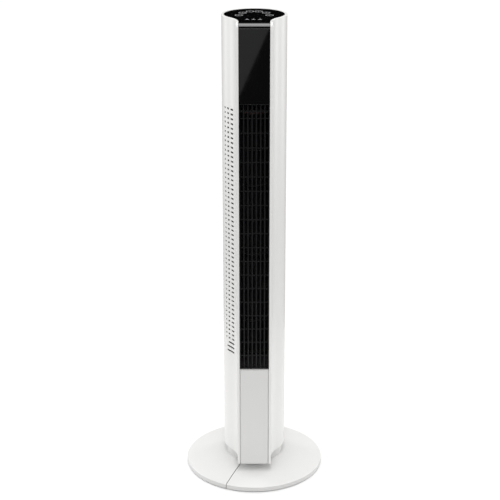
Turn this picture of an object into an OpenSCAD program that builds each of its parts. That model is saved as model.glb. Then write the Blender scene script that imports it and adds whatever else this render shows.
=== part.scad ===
// Tower fan on a round domed base. The column is a cylinder that flows into a square nose
// at the front, with a touch panel on top, a display window, a long outlet grille and a
// plain cover below it. The column swings on the base, and a tall cross-flow wheel spins in it.
//
// Z is up, X is to the viewer's right and the front faces -Y. The origin is on the floor,
// on the swing axis, which is also the middle of the base. All sizes are in millimetres.

/* [Overall] */
// height from the floor to the top rim
overall_h = 1074; // [900:1:1250]
// radius of the round part of the column
col_r = 71; // [64:0.5:80]
// width of the square nose at the front
nose_w = 77; // [70:0.5:86]
// depth of the flat sides of the nose
nose_side = 15.1; // [12:0.1:24]
// radius of the hollow curve between the round part and the nose
hollow_r = 71; // [60:1:80]
// wall of the white shells
shell_t = 2.5; // [2:0.1:3.5]
// width of the white border around the touch panel and beside the black strip
border_w = 5.4; // [3:0.1:8]

/* [Base] */
// diameter of the base disc
base_d = 320; // [280:1:380]
// height of the upright edge of the base disc
base_edge_h = 11; // [8:0.5:16]
// how far the base rises from its edge to the collar
dome_rise = 15.5; // [8:0.5:24]
// height of the rubber feet under the base
foot_h = 1.5; // [1:0.1:3]
// angle between the base seam and the front of the column at rest
base_turn = 24; // [0:1:30]
// gap between the two halves of the base
seam_gap = 1.2; // [0.4:0.1:1.5]
// thickness of the steel plate inside the base
plate_t = 3; // [2:0.5:6]

/* [Swivel] */
// radius of the fixed collar that the column turns on
collar_r = 64.5; // [58:0.5:68]
// height of the collar above the base
collar_h = 21.5; // [16:0.5:30]
// gap between the collar and the column
swivel_gap = 2; // [1:0.1:3]
// radius of the hollow pivot post
post_r = 16; // [12:0.5:20]
// radial play of the column on its post
post_play = 0.05; // [0.02:0.01:0.1]
// module of the swing gears
gear_m = 1.25; // [1:0.25:1.5]
// teeth on the fixed gear
sun_teeth = 48; // [40:2:56]
// teeth on the pinion
pinion_teeth = 16; // [14:1:20]

/* [Front] */
// height of the display window
display_h = 161; // [100:1:200]
// height of the plain cover under the grille
cover_h = 239.6; // [150:0.2:300]
// how far the nose hangs below the round part
nose_drop = 8; // [0:0.5:14]
// radius of the black panel where it turns down over the nose
bullnose_r = 10; // [6:0.5:14]
// how far the grille sits behind the face of the nose
grille_recess = 7; // [3:0.5:12]
// upright bars in the grille
bar_count = 6; // [4:1:9]
// width of an upright bar
bar_w = 3.2; // [2:0.1:5]
// cells between the thin crossbars
cell_count = 19; // [12:1:26]

/* [Side vents] */
// distance from one slot to the next
vent_pitch = 10.6; // [8:0.1:14]
// height of a slot
vent_h = 4.4; // [3:0.1:6]
// height of the lowest slot above the cover
vent_rise = 18.6; // [8:0.2:40]
// long slots at the bottom of the field
long_slots = 3; // [1:1:6]

/* [Air system] */
// radius of the cross-flow wheel
wheel_r = 45; // [40:0.5:48]
// blades in one ring of the wheel
blade_count = 28; // [18:1:34]
// rings of blades along the wheel
ring_count = 7; // [4:1:9]
// radial play of the wheel's top journal
journal_play = 0.05; // [0.02:0.01:0.1]

/* [Hidden] */
$fn = 96;
e = 0.01;
fit = 0.3;

base_r = base_d / 2;
edge_z = foot_h + base_edge_h;
dome_r = (pow(base_r, 2) - pow(collar_r, 2)) / (2 * dome_rise);
dome_cz = edge_z - sqrt(pow(dome_r, 2) - pow(base_r, 2));
// enough steps round a dome this large
dome_fn = 24 * ceil(dome_r / 80);
deck_z = dome_cz + sqrt(pow(dome_r, 2) - pow(collar_r, 2));
plate_top = foot_h + plate_t;
collar_top = deck_z + collar_h;
case_z = collar_top + swivel_gap;
nose_z = case_z - nose_drop;

nose_half = nose_w / 2;
strip_half = nose_half - border_w;
strip_fit = 0.1;
hollow_x = nose_half + hollow_r;
hollow_y = sqrt(pow(col_r + hollow_r, 2) - pow(hollow_x, 2));
nose_front = hollow_y + nose_side;
blend_a = atan2(hollow_y, hollow_x);
core_r = col_r - shell_t;
side_y = hollow_y + 0.2;

lip_t = 3;
panel_t = 3;
panel_z = overall_h - 0.4 - panel_t;
tray_z = panel_z - 16;
bull_y = nose_front - fit - bullnose_r;
bull_z = overall_h - 0.4 - bullnose_r;
lens_t = 3;
lens_top = bull_z - 1.6;
lens_z = lens_top - display_h;
grille_top = lens_z - 0.4;
cover_top = nose_z + cover_h;
grille_z = cover_top + 0.4;
grille_h = grille_top - grille_z;
grille_y = nose_front - grille_recess;
grille_t = grille_y - side_y - 2.2;

rear_a = 35;
swivel_t = 4;
deck_t = 4;
motor_deck_z = cover_top + 3;
top_deck_z = grille_top - 20;
wheel_z = motor_deck_z + deck_t + 8;
wheel_top = top_deck_z - 7;
cap_h = 9;
shaft_r = 4;
duct_half = strip_half - 2;
board_half = strip_half - 6.1;
board_y = side_y - 26.6;
scroll_r = core_r - 10.5;
scroll_a = 124;
wall_t = 2.5;
lug_r = scroll_r + wall_t + fit;

sun_r = gear_m * sun_teeth / 2;
pinion_r = gear_m * pinion_teeth / 2;
gear_y = sun_r + pinion_r + 0.2;
gear_z = deck_z + 8;
gear_t = 6;
hub_top = case_z + 14.5;
clip_z = hub_top + 0.5;
clip_t = 1.6;
post_top = clip_z + clip_t + 1.5;
drive_z = post_top + 4;
drive_r = 24;
drive_h = 18;

motor_r = 34;
motor_h = 68;
motor_z = motor_deck_z - 12 - motor_h;
harness_r = 2.5;
harness_a = 18;
harness_x = (scroll_r + wall_t + core_r) / 2;

vent_bottom = cover_top + vent_rise;
vent_rows = floor((top_deck_z - vent_bottom - vent_h) / vent_pitch) + 1;
vent_x = [-0.646, -0.727, -0.777, -0.834, -0.875, -0.915];

intake_pitch = 9;
intake_h = 4;
intake_z = wheel_z + 6;
intake_rows = floor((wheel_top - intake_z) / intake_pitch);
handle_w = 84;
handle_h = 30;
handle_deep = 26;
handle_z = top_deck_z + 74;

screw_zs = [case_z + 9, motor_deck_z + deck_t / 2, top_deck_z + deck_t / 2, panel_z - 10];
screw_as = [rear_a + 7, 180 - rear_a - 7];
gland_r = 3.3;
gland_bore_r = 2.4;
foot_r = 11;
foot_ring = base_r - 26;
stud_ring = base_r - 50;

// ---------- shapes that several parts share ----------

function arc_pts(cx, cy, r, a1, a2, n) =
    [for (i = [0:n]) [
        cx + r * cos(a1 + (a2 - a1) * i / n),
        cy + r * sin(a1 + (a2 - a1) * i / n)
    ]];

// the outline of the column seen from above, drawn in by some distance
function outline(inset, front) = concat(
    arc_pts(0, 0, col_r - inset, -blend_a, 180 + blend_a, 84),
    arc_pts(-hollow_x, -hollow_y, hollow_r + inset, blend_a, 0, 16),
    [[-(nose_half - inset), -front], [nose_half - inset, -front]],
    arc_pts(hollow_x, -hollow_y, hollow_r + inset, 180, 180 - blend_a, 16));

module plate(inset, front, z, t) {
    translate([0, 0, z])
        linear_extrude(height = t)
            polygon(outline(inset, front));
}

module arc_wall(cx, cy, r1, r2, a1, a2, z, h) {
    translate([cx, cy, z])
        rotate([0, 0, a1])
            rotate_extrude(angle = a2 - a1)
                translate([r1, 0])
                    square([r2 - r1, h]);
}

module tube(r1, r2, z, h) {
    translate([0, 0, z])
        difference() {
            cylinder(r = r2, h = h);
            translate([0, 0, -1])
                cylinder(r = r1, h = h + 2);
        }
}

// section of the left side wall: the round part from the rear joint, then the hollow curve
function side_pts(t) = concat(
    arc_pts(0, 0, col_r, 180.25 - rear_a, 180 + blend_a, 30),
    arc_pts(-hollow_x, -hollow_y, hollow_r, blend_a, 0, 16),
    arc_pts(-hollow_x, -hollow_y, hollow_r + t, 0, blend_a, 16),
    arc_pts(0, 0, col_r - t, 180 + blend_a, 180.25 - rear_a, 30));

function rear_pts(t) = concat(
    arc_pts(0, 0, col_r, rear_a, 180 - rear_a, 36),
    arc_pts(0, 0, col_r - t, 180 - rear_a, rear_a, 36));

// a tall wall with a wider lip round its top edge
module rimmed_wall(wall, lip) {
    translate([0, 0, case_z])
        linear_extrude(height = overall_h - case_z - 1)
            polygon(wall);
    translate([0, 0, overall_h - lip_t])
        linear_extrude(height = lip_t)
            polygon(lip);
}

// involute gear outline, thinned a little so that a pair runs with play
function flank(r, rb, hb) = r <= rb ? hb : hb - (tan(acos(rb / r)) * 180 / PI - acos(rb / r));
function tooth(c, rf, rb, ra, hb) = let (
        rs = [rf, max(rf, rb), rb + (ra - rb) * 0.3, rb + (ra - rb) * 0.65, ra])
    concat(
        [for (i = [0:4]) [rs[i] * cos(c - flank(rs[i], rb, hb)), rs[i] * sin(c - flank(rs[i], rb, hb))]],
        [for (i = [4:-1:0]) [rs[i] * cos(c + flank(rs[i], rb, hb)), rs[i] * sin(c + flank(rs[i], rb, hb))]]);
function gear_pts(n, play) = let (
        rp = gear_m * n / 2,
        rb = rp * cos(20),
        ra = rp + 0.9 * gear_m,
        rf = min(rp - 1.25 * gear_m, rb - 0.1),
        hb = (PI * gear_m / 2 - play) / (2 * rp) * 180 / PI + tan(20) * 180 / PI - 20)
    [for (k = [0:n - 1]) each tooth(360 * k / n, rf, rb, ra, hb)];

module screw(head_r, head_t, shank_r, shank_l) {
    translate([0, 0, -head_t])
        cylinder(r = head_r, h = head_t);
    cylinder(r = shank_r, h = shank_l);
}

module turned_base() {
    rotate([0, 0, -base_turn])
        children();
}

// ---------- base ----------

stud_as = [28, 90, 152, 208, 270, 332];

module dome_section(sink, side) {
    intersection() {
        translate([0, dome_cz])
            circle(r = dome_r - sink, $fn = dome_fn);
        polygon([
            [24 + side, foot_h], [base_r - 1 - side, foot_h], [base_r - side, foot_h + 1],
            [base_r - side, edge_z - 1.2], [base_r - 1.6 - side, edge_z + 0.4],
            [base_r - 1.6 - side, edge_z + 40], [24 + side, edge_z + 40]
        ]);
    }
}

module gland_place() {
    rotate([0, 0, 90])
        translate([base_r, 0, foot_h + base_edge_h / 2 - 0.9])
            rotate([0, 90, 0])
                children();
}

module base_shell() {
    difference() {
        union() {
            difference() {
                rotate_extrude()
                    dome_section(0, 0);
                translate([0, 0, -e])
                    rotate_extrude()
                        dome_section(3, 3);
                translate([0, 0, foot_h - 1])
                    cylinder(r = base_r - 3, h = plate_t + 1.2);
            }
            for (a = stud_as)
                rotate([0, 0, a])
                    translate([stud_ring, 0, plate_top + 0.2])
                        cylinder(r = 5, h = stud_top() - plate_top);
        }
        for (a = stud_as)
            rotate([0, 0, a])
                translate([stud_ring, 0, 0])
                    cylinder(r = 1.6, h = stud_top() - 3);
        gland_place()
            translate([0, 0, -9])
                cylinder(r = gland_r + 0.2, h = 12);
    }
}

// underside of the dome at the screw posts, with a little overlap
function stud_top() = dome_cz + sqrt(pow(dome_r - 3, 2) - pow(stud_ring, 2)) + 1;

module base_left() {
    color("whitesmoke")
        turned_base()
            intersection() {
                base_shell();
                translate([-base_r - 10, -base_r - 10, 0])
                    cube([base_r + 10 - seam_gap / 2, base_d + 20, 80]);
            }
}

module base_right() {
    color("whitesmoke")
        turned_base()
            intersection() {
                base_shell();
                translate([seam_gap / 2, -base_r - 10, 0])
                    cube([base_r + 10, base_d + 20, 80]);
            }
}

module base_plate() {
    color("silver")
        turned_base()
            difference() {
                translate([0, 0, foot_h])
                    cylinder(r = base_r - 3.4, h = plate_t);
                for (a = stud_as)
                    rotate([0, 0, a])
                        translate([stud_ring, 0, foot_h - 1])
                            cylinder(r = 1.7, h = plate_t + 2);
                translate([0, 0, foot_h - 1])
                    cylinder(r = 9, h = plate_t + 2);
                translate([-gland_r - 2.5, base_r - 16, foot_h - 1])
                    cube([2 * gland_r + 5, 20, plate_t + 2]);
            }
}

module base_screws() {
    color("dimgray")
        turned_base()
            for (a = stud_as)
                rotate([0, 0, a])
                    translate([stud_ring, 0, foot_h])
                        screw(3.4, 1.1, 1.5, 11);
}

module base_feet() {
    color("darkslategray")
        turned_base()
            for (a = [0:60:300])
                rotate([0, 0, a])
                    translate([foot_ring, 0, 0])
                        cylinder(r = foot_r, h = foot_h);
}

module cord_gland() {
    color("dimgray")
        turned_base()
            gland_place()
                difference() {
                    union() {
                        translate([0, 0, -12])
                            cylinder(r = gland_r, h = 14);
                        translate([0, 0, -6.4])
                            cylinder(r = gland_r + 0.8, h = 2.8);
                        translate([0, 0, 0.4])
                            cylinder(r = gland_r + 1, h = 2);
                    }
                    translate([0, 0, -13])
                        cylinder(r = gland_bore_r, h = 16);
                }
}

// ---------- swivel ----------

module collar() {
    color("gainsboro")
        difference() {
            union() {
                tube(collar_r - 3, collar_r, deck_z - 4, collar_h + 4);
                tube(collar_r - 12, collar_r - 1, collar_top - 3, 3);
            }
            translate([0, 0, dome_cz])
                sphere(r = dome_r + 0.05, $fn = dome_fn);
        }
}

module slide_ring() {
    color("ivory")
        tube(collar_r - 10, collar_r - 4, collar_top, swivel_gap - fit);
}

module pivot_post() {
    color("silver")
        difference() {
            union() {
                translate([0, 0, plate_top])
                    cylinder(r = 21, h = 3);
                translate([0, 0, plate_top])
                    cylinder(r = post_r, h = post_top - plate_top);
            }
            translate([0, 0, plate_top - 1])
                cylinder(r = post_r - 5, h = post_top);
        }
}

module sun_gear() {
    color("ivory")
        translate([0, 0, gear_z])
            difference() {
                linear_extrude(height = gear_t)
                    polygon(gear_pts(sun_teeth, 0.3));
                translate([0, 0, -1])
                    cylinder(r = post_r, h = gear_t + 2);
            }
}

module post_clip() {
    color("silver")
        tube(post_r, post_r + 4, clip_z, clip_t);
}

module swivel_plate() {
    color("gainsboro")
        difference() {
            union() {
                plate(shell_t + 0.2, side_y - 1.1, case_z, swivel_t);
                translate([0, 0, case_z])
                    cylinder(r = post_r + 6, h = hub_top - case_z);
                for (a = screw_as)
                    rotate([0, 0, a])
                        translate([core_r - 13, -5, case_z + swivel_t - e])
                            cube([12.6, 10, 10]);
                // uprights that hold the power board
                for (s = [-1, 1])
                    translate([s * (board_half - 2) - 4, -board_y - 3.2, case_z + swivel_t - e])
                        cube([8, 3.2, 130]);
            }
            translate([0, 0, case_z - 1])
                cylinder(r = post_r + post_play, h = hub_top);
            translate([0, gear_y, case_z - 1])
                cylinder(r = 5, h = swivel_t + 2);
            rear_screw_holes();
        }
}

// ---------- white shells ----------

module rear_screw_holes() {
    for (z = screw_zs, a = screw_as)
        rotate([0, 0, a])
            translate([core_r - 16, 0, z])
                rotate([0, 90, 0])
                    cylinder(r = 1.6, h = 30);
}

module vent_cuts() {
    for (i = [0:vent_rows - 1]) {
        z = vent_bottom + i * vent_pitch;
        for (k = i < long_slots ? [0] : [0, 2, 4]) {
            x1 = vent_x[k] * col_r;
            x2 = vent_x[i >= long_slots ? k + 1 : i < long_slots - 1 ? 4 : 3] * col_r;
            translate([x2, -col_r - 6, z])
                cube([x1 - x2, col_r, vent_h]);
        }
    }
}

module left_casing() {
    color("white")
        difference() {
            rimmed_wall(side_pts(shell_t), side_pts(border_w));
            vent_cuts();
        }
}

module right_casing() {
    color("white")
        mirror([1, 0, 0])
            rimmed_wall(side_pts(shell_t), side_pts(border_w));
}

module rear_shell() {
    color("white")
        difference() {
            union() {
                rimmed_wall(rear_pts(shell_t), rear_pts(border_w));
                intersection() {
                    translate([-handle_w / 2 - 2, col_r - handle_deep - 2, handle_z - 2])
                        cube([handle_w + 4, handle_deep + 2, handle_h + 4]);
                    translate([0, 0, handle_z - 4])
                        cylinder(r = col_r - 1, h = handle_h + 8);
                }
            }
            translate([-handle_w / 2, col_r - handle_deep, handle_z])
                cube([handle_w, handle_deep + 5, handle_h]);
            for (i = [0:intake_rows - 1], s = [-1, 0, 1])
                translate([s * 26 - 11, 20, intake_z + i * intake_pitch])
                    cube([22, col_r, intake_h]);
            rear_screw_holes();
            for (z = screw_zs, a = screw_as)
                rotate([0, 0, a])
                    translate([col_r - 1.4, 0, z])
                        rotate([0, 90, 0])
                            cylinder(r = 3.6, h = 6);
        }
}

module shell_screws() {
    color("dimgray")
        for (z = screw_zs, a = screw_as)
            rotate([0, 0, a])
                translate([col_r - 1.4, 0, z])
                    rotate([0, -90, 0])
                        screw(3.2, 1.2, 1.5, 11);
}

// ---------- nose ----------

// keeps everything inside the curve where the nose turns over at the top
module nose_clip() {
    difference() {
        children();
        difference() {
            translate([-60, -nose_front - 5, bull_z])
                cube([120, nose_front + 5 - bull_y, bullnose_r + 10]);
            translate([-61, -bull_y, bull_z])
                rotate([0, 90, 0])
                    cylinder(r = bullnose_r + 0.4, h = 122);
        }
    }
}

module nose_rails() {
    color("white")
        nose_clip()
            for (s = [0, 1])
                mirror([s, 0, 0]) {
                    translate([strip_half + strip_fit, -nose_front, nose_z])
                        cube([border_w - strip_fit, nose_front - side_y, overall_h - nose_z]);
                    // ledge that carries the grille, the window and the cover
                    translate([duct_half + 0.4, -side_y - 2, case_z + 6])
                        cube([strip_half + 0.6 - duct_half, 2, grille_top + 4 - case_z]);
                }
}

module grille() {
    half = strip_half - strip_fit;
    edge = 2.4;
    bar_step = 2 * (half - edge / 2) / (bar_count + 1);
    cell_h = grille_h / cell_count;
    color("dimgray")
        union() {
            difference() {
                translate([-half, -grille_y, grille_z])
                    cube([2 * half, grille_t, grille_h]);
                translate([edge - half, -grille_y - 1, grille_z + edge])
                    cube([2 * (half - edge), grille_t + 2, grille_h - 2 * edge]);
            }
            for (i = [1:bar_count])
                translate([edge / 2 - half + i * bar_step - bar_w / 2, -grille_y, grille_z + 1])
                    cube([bar_w, grille_t, grille_h - 2]);
            for (j = [1:cell_count - 1])
                translate([1 - half, -grille_y + grille_t - 3, grille_z + j * cell_h - 0.9])
                    cube([2 * half - 2, 3, 1.8]);
        }
}

module front_cover() {
    crown_r = 420;
    color("gainsboro")
        difference() {
            translate([0, 0, nose_z])
                linear_extrude(height = cover_h)
                    intersection() {
                        translate([0, -nose_front + crown_r])
                            circle(r = crown_r, $fn = 720);
                        polygon([
                            [-strip_half, -side_y - 2.2], [-strip_half, -nose_front + 3.6],
                            [-strip_half + 2.4, -nose_front + 1.2], [-strip_half + 5, -nose_front - 1],
                            [strip_half - 5, -nose_front - 1], [strip_half - 2.4, -nose_front + 1.2],
                            [strip_half, -nose_front + 3.6], [strip_half, -side_y - 2.2]
                        ]);
                    }
            translate([-strip_half + 2.6, -nose_front + 6, nose_z + 2.5])
                cube([2 * strip_half - 5.2, nose_front, cover_h - 5]);
        }
}

module display_lens() {
    color("black")
        translate([strip_fit - strip_half, -nose_front + fit, lens_z])
            cube([2 * (strip_half - strip_fit), lens_t, display_h]);
}

module touch_panel() {
    half = strip_half - strip_fit;
    color("black")
        union() {
            plate(nose_half - half, bull_y, panel_z, panel_t);
            translate([-half, -bull_y, bull_z])
                rotate([90, 0, 90])
                    intersection() {
                        tube(bullnose_r - panel_t, bullnose_r, 0, 2 * half);
                        translate([-bullnose_r - 1, -e, -1])
                            cube([bullnose_r + 1 + e, bullnose_r + 2, 2 * half + 2]);
                    }
            translate([-half, -bull_y - bullnose_r, bull_z - 1.2])
                cube([2 * half, panel_t, 1.2 + e]);
        }
}

// ---------- air system ----------

module harness_notch(z, t) {
    rotate([0, 0, harness_a])
        translate([harness_x, 0, z - 1])
            cylinder(r = harness_r + 1, h = t + 2);
}

module deck(z) {
    difference() {
        union() {
            plate(shell_t + 0.2, side_y + 1, z, deck_t);
            for (a = screw_as)
                rotate([0, 0, a])
                    translate([lug_r, -5, z - 4])
                        cube([core_r - 0.4 - lug_r, 10, deck_t + 8]);
        }
        harness_notch(z - 5, deck_t + 10);
        rear_screw_holes();
        translate([-nose_half - 1, -nose_front, z - 5])
            cube([nose_half + 1 - duct_half - 0.2, nose_front - hollow_y + 12, deck_t + 10]);
        translate([duct_half + 0.2, -nose_front, z - 5])
            cube([nose_half + 1, nose_front - hollow_y + 12, deck_t + 10]);
    }
}

module motor_deck() {
    color("gray")
        difference() {
            deck(motor_deck_z);
            translate([0, 0, motor_deck_z - 5])
                cylinder(r = 16, h = deck_t + 10);
        }
}

module top_deck() {
    color("gray")
        difference() {
            deck(top_deck_z);
            translate([0, 0, top_deck_z - 5])
                cylinder(r = 13, h = deck_t + 10);
        }
}

duct_z = motor_deck_z + deck_t;
duct_h = top_deck_z - duct_z;

module scroll_wall() {
    out_r = scroll_r + wall_t;
    out_half = duct_half + wall_t;
    color("gray")
        translate([0, 0, duct_z])
            linear_extrude(height = duct_h)
                polygon(concat(
                    arc_pts(0, 0, scroll_r, scroll_a, -acos(duct_half / scroll_r), 54),
                    [[duct_half, fit - side_y], [out_half, fit - side_y]],
                    arc_pts(0, 0, out_r, -acos(out_half / out_r), scroll_a, 54)));
}

// a point some distance outside the wheel
function lip_pt(gap, a) = [(wheel_r + gap) * cos(a), (wheel_r + gap) * sin(a)];

module vortex_wall() {
    color("gray")
        translate([0, 0, duct_z])
            linear_extrude(height = duct_h)
                polygon([
                    [-duct_half - wall_t + 0.2, fit - side_y], [-duct_half + 0.2, fit - side_y],
                    [-duct_half + 0.2, -wheel_r - 11], lip_pt(6.2, 240), lip_pt(5.2, 223.4),
                    lip_pt(8, 223.5), lip_pt(9.5, 236.6), [-duct_half - wall_t + 0.2, -wheel_r - 9]
                ]);
}

module bearing_rubber() {
    color("darkslategray")
        tube(8, 13, top_deck_z, deck_t);
}

module top_bearing() {
    color("goldenrod")
        tube(shaft_r + journal_play, 8, top_deck_z - 2, deck_t + 4);
}

module wheel_hub() {
    color("darkslategray")
        difference() {
            translate([0, 0, motor_deck_z - 4])
                cylinder(r = 12, h = wheel_z - motor_deck_z + 4);
            translate([0, 0, motor_deck_z - 5])
                cylinder(r = shaft_r, h = wheel_z - motor_deck_z);
        }
}

module wheel() {
    ring_h = (wheel_top - cap_h - wheel_z) / ring_count;
    color("dimgray")
        union() {
            translate([0, 0, wheel_z])
                cylinder(r = wheel_r, h = 2);
            for (k = [1:ring_count])
                tube(wheel_r - 13.5, wheel_r, wheel_z + k * ring_h - 2, 2);
            for (i = [0:blade_count - 1])
                rotate([0, 0, 360 * i / blade_count])
                    arc_wall(wheel_r - 2.5, 5.6, 8.6, 9.8, 193, 279, wheel_z + 1, wheel_top - cap_h - wheel_z - 2);
        }
}

module wheel_cap() {
    color("saddlebrown")
        union() {
            translate([0, 0, wheel_top - cap_h])
                cylinder(r = wheel_r - 0.3, h = cap_h - 2);
            translate([0, 0, wheel_top - 2.2])
                cylinder(r = 12, h = 2.2);
            translate([0, 0, wheel_top - e])
                cylinder(r = shaft_r, h = top_deck_z + deck_t + 4 - wheel_top);
        }
}

module motor_housing() {
    color("silver")
        translate([0, 0, motor_z])
            difference() {
                cylinder(r = motor_r, h = motor_h);
                translate([0, 0, 3])
                    cylinder(r = motor_r - 2.5, h = motor_h - 6);
                translate([0, 0, -1])
                    cylinder(r = shaft_r + 0.05, h = motor_h + 2);
                for (a = [0:30:330])
                    rotate([0, 0, a])
                        translate([22, -3, motor_h - 4])
                            cube([7, 6, 6]);
            }
}

module motor_stator() {
    color("slategray")
        tube(19, motor_r - 2.5, motor_z + 18, 32);
}

module motor_coils() {
    color("peru")
        for (z = [motor_z + 8, motor_z + 50])
            tube(20.5, motor_r - 5, z, 10);
}

module motor_mounts() {
    color("darkslategray")
        for (a = [45:90:315])
            rotate([0, 0, a])
                translate([27, 0, motor_z + motor_h])
                    cylinder(r = 5, h = motor_deck_z - motor_z - motor_h);
}

module rotor() {
    color("lightslategray")
        union() {
            translate([0, 0, motor_z - 8])
                cylinder(r = shaft_r, h = wheel_z - 5 - motor_z + 8);
            translate([0, 0, motor_z + 18])
                cylinder(r = 18.5, h = 32);
        }
}

// ---------- swing drive ----------

module drive_motor() {
    color("silver")
        translate([0, gear_y, drive_z])
            difference() {
                cylinder(r = drive_r, h = drive_h);
                translate([0, 0, -1])
                    cylinder(r = 3.05, h = 12);
            }
}

module drive_bracket() {
    color("gainsboro")
        difference() {
            union() {
                translate([-34, gear_y - 8, drive_z - 2.5])
                    cube([68, 16, 2.5]);
                for (s = [-1, 1])
                    translate([s * 30, gear_y, case_z + swivel_t])
                        cylinder(r = 4, h = drive_z - 2.5 - case_z - swivel_t + e);
            }
            translate([0, gear_y, drive_z - 4])
                cylinder(r = 7, h = 6);
        }
}

module pinion() {
    color("ivory")
        translate([0, gear_y, 0])
            union() {
                translate([0, 0, gear_z + 0.5])
                    rotate([0, 0, 270 + 180 / pinion_teeth])
                        linear_extrude(height = gear_t - 1)
                            polygon(gear_pts(pinion_teeth, 0.3));
                translate([0, 0, gear_z + 1])
                    cylinder(r = 3, h = drive_z + 9 - gear_z);
            }
}

// ---------- electronics ----------

module power_board() {
    color("darkgreen")
        difference() {
            translate([-board_half - 2, -board_y, case_z + 22])
                cube([2 * board_half + 4, 1.6, 112]);
            for (s = [-1, 1], z = [case_z + 27, case_z + 129])
                translate([s * (board_half - 2), -board_y - 2, z])
                    rotate([-90, 0, 0])
                        cylinder(r = 1.6, h = 6);
        }
}

module capacitor() {
    color("white")
        translate([-14, 1.7 - board_y, case_z + 62])
            rotate([-90, 0, 0])
                cylinder(r = 11, h = 26);
}

module transformer() {
    color("goldenrod")
        translate([4, 1.7 - board_y, case_z + 76])
            cube([22, 20, 26]);
}

module terminal_block() {
    color("seagreen")
        difference() {
            translate([-20, 1.7 - board_y, case_z + 26])
                cube([40, 13, 12]);
            for (i = [0:4])
                translate([-16 + i * 8, 8 - board_y, case_z + 34])
                    cylinder(r = 2, h = 6);
        }
}

module control_tray() {
    color("gray")
        difference() {
            union() {
                difference() {
                    plate(border_w + 2, bull_y - 2, tray_z, 12);
                    translate([0, 0, tray_z + 2])
                        linear_extrude(height = 14)
                            polygon(outline(border_w + 4, bull_y - 4));
                }
                for (a = screw_as)
                    rotate([0, 0, a])
                        translate([core_r - 11, -5, tray_z + 1])
                            cube([10.6, 10, 10]);
                for (a = [45:90:315])
                    rotate([0, 0, a])
                        translate([46, 0, tray_z + 1])
                            cylinder(r = 3.5, h = 4);
            }
            rear_screw_holes();
            translate([0, -74, tray_z - 1])
                cylinder(r = 6, h = 4);
        }
}

module control_board() {
    color("darkgreen")
        translate([0, 0, panel_z - 11])
            difference() {
                union() {
                    cylinder(r = col_r - border_w - 10, h = 1.6);
                    translate([-board_half - 1, 10.6 - side_y, 0])
                        cube([2 * board_half + 2, side_y - 30, 1.6]);
                }
                for (a = [45:90:315])
                    rotate([0, 0, a])
                        translate([46, 0, -1])
                            cylinder(r = 1.7, h = 4);
            }
}

// middles of the touch keys on the right half of the panel; the left half mirrors them
key_spots = [[32, -19], [25.5, 9.5], [9.8, 26]];

module touch_springs() {
    color("silver")
        for (p = key_spots, s = [-1, 1])
            translate([s * p[0], p[1], 0])
                tube(3, 4.5, panel_z - 9.4, 9.2);
}

module indicator_lights() {
    color("white")
        for (x = [-13.3, 0, 13.3])
            translate([x - 2, -66, panel_z - 9.4])
                cube([4, 4, 3]);
}

module buzzer() {
    color("black")
        translate([0, -18, panel_z - 9.4])
            difference() {
                cylinder(r = 6, h = 7.5);
                translate([0, 0, 5])
                    cylinder(r = 1.2, h = 4);
            }
}

module display_board() {
    color("darkgreen")
        translate([-board_half, -nose_front + 12, lens_z + 8])
            cube([2 * board_half, 1.6, display_h - 16]);
}

module display_digits() {
    color("black")
        translate([5 - board_half, -nose_front + 4.2, lens_z + display_h - 66])
            cube([2 * board_half - 10, 7.8, 26]);
}

module remote_eye() {
    color("darkslateblue")
        union() {
            translate([-4, -nose_front + 5.4, lens_z + 16])
                cube([8, 6.6, 9]);
            translate([0, -nose_front + 5.5, lens_z + 20.5])
                rotate([90, 0, 0])
                    cylinder(r = 2.5, h = 1.4);
        }
}

module harness() {
    color("black")
        rotate([0, 0, harness_a])
            union() {
                translate([harness_x, 0, case_z + 30])
                    cylinder(r = harness_r, h = panel_z - 20 - case_z - 30);
                translate([harness_x, 0, case_z + 30])
                    rotate([0, -90, 0])
                        cylinder(r = harness_r, h = harness_x - 24);
                translate([harness_x, 0, panel_z - 20])
                    rotate([0, -90, 0])
                        cylinder(r = harness_r, h = harness_x - 30);
                translate([harness_x, 0, case_z + 30])
                    sphere(r = harness_r);
                translate([harness_x, 0, panel_z - 20])
                    sphere(r = harness_r);
            }
}

// ---------- output ----------

base_left();
base_right();
base_plate();
base_screws();
base_feet();
cord_gland();
collar();
slide_ring();
pivot_post();
sun_gear();
post_clip();
swivel_plate();
left_casing();
right_casing();
rear_shell();
shell_screws();
nose_rails();
grille();
front_cover();
display_lens();
touch_panel();
motor_deck();
top_deck();
scroll_wall();
vortex_wall();
bearing_rubber();
top_bearing();
motor_housing();
motor_stator();
motor_coils();
motor_mounts();
rotor();
wheel_hub();
wheel();
wheel_cap();
drive_motor();
drive_bracket();
pinion();
power_board();
capacitor();
transformer();
terminal_block();
control_tray();
control_board();
touch_springs();
indicator_lights();
buzzer();
display_board();
display_digits();
remote_eye();
harness();
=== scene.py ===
import math

import bpy
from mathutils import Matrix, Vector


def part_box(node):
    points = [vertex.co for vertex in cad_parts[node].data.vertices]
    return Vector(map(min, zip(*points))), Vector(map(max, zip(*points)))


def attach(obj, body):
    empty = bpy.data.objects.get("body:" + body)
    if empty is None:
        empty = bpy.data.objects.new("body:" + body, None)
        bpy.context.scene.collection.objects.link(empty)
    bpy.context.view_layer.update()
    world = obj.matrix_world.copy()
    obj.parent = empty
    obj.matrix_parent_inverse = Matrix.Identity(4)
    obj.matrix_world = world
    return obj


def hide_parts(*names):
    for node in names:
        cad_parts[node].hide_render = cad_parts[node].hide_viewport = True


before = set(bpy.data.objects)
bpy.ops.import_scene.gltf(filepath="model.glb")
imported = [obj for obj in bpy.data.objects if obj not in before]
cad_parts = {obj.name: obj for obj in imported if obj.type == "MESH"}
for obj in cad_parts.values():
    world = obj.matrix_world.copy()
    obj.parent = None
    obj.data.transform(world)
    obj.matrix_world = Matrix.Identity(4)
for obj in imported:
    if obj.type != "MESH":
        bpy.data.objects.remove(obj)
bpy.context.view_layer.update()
mm = 0.001

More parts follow.
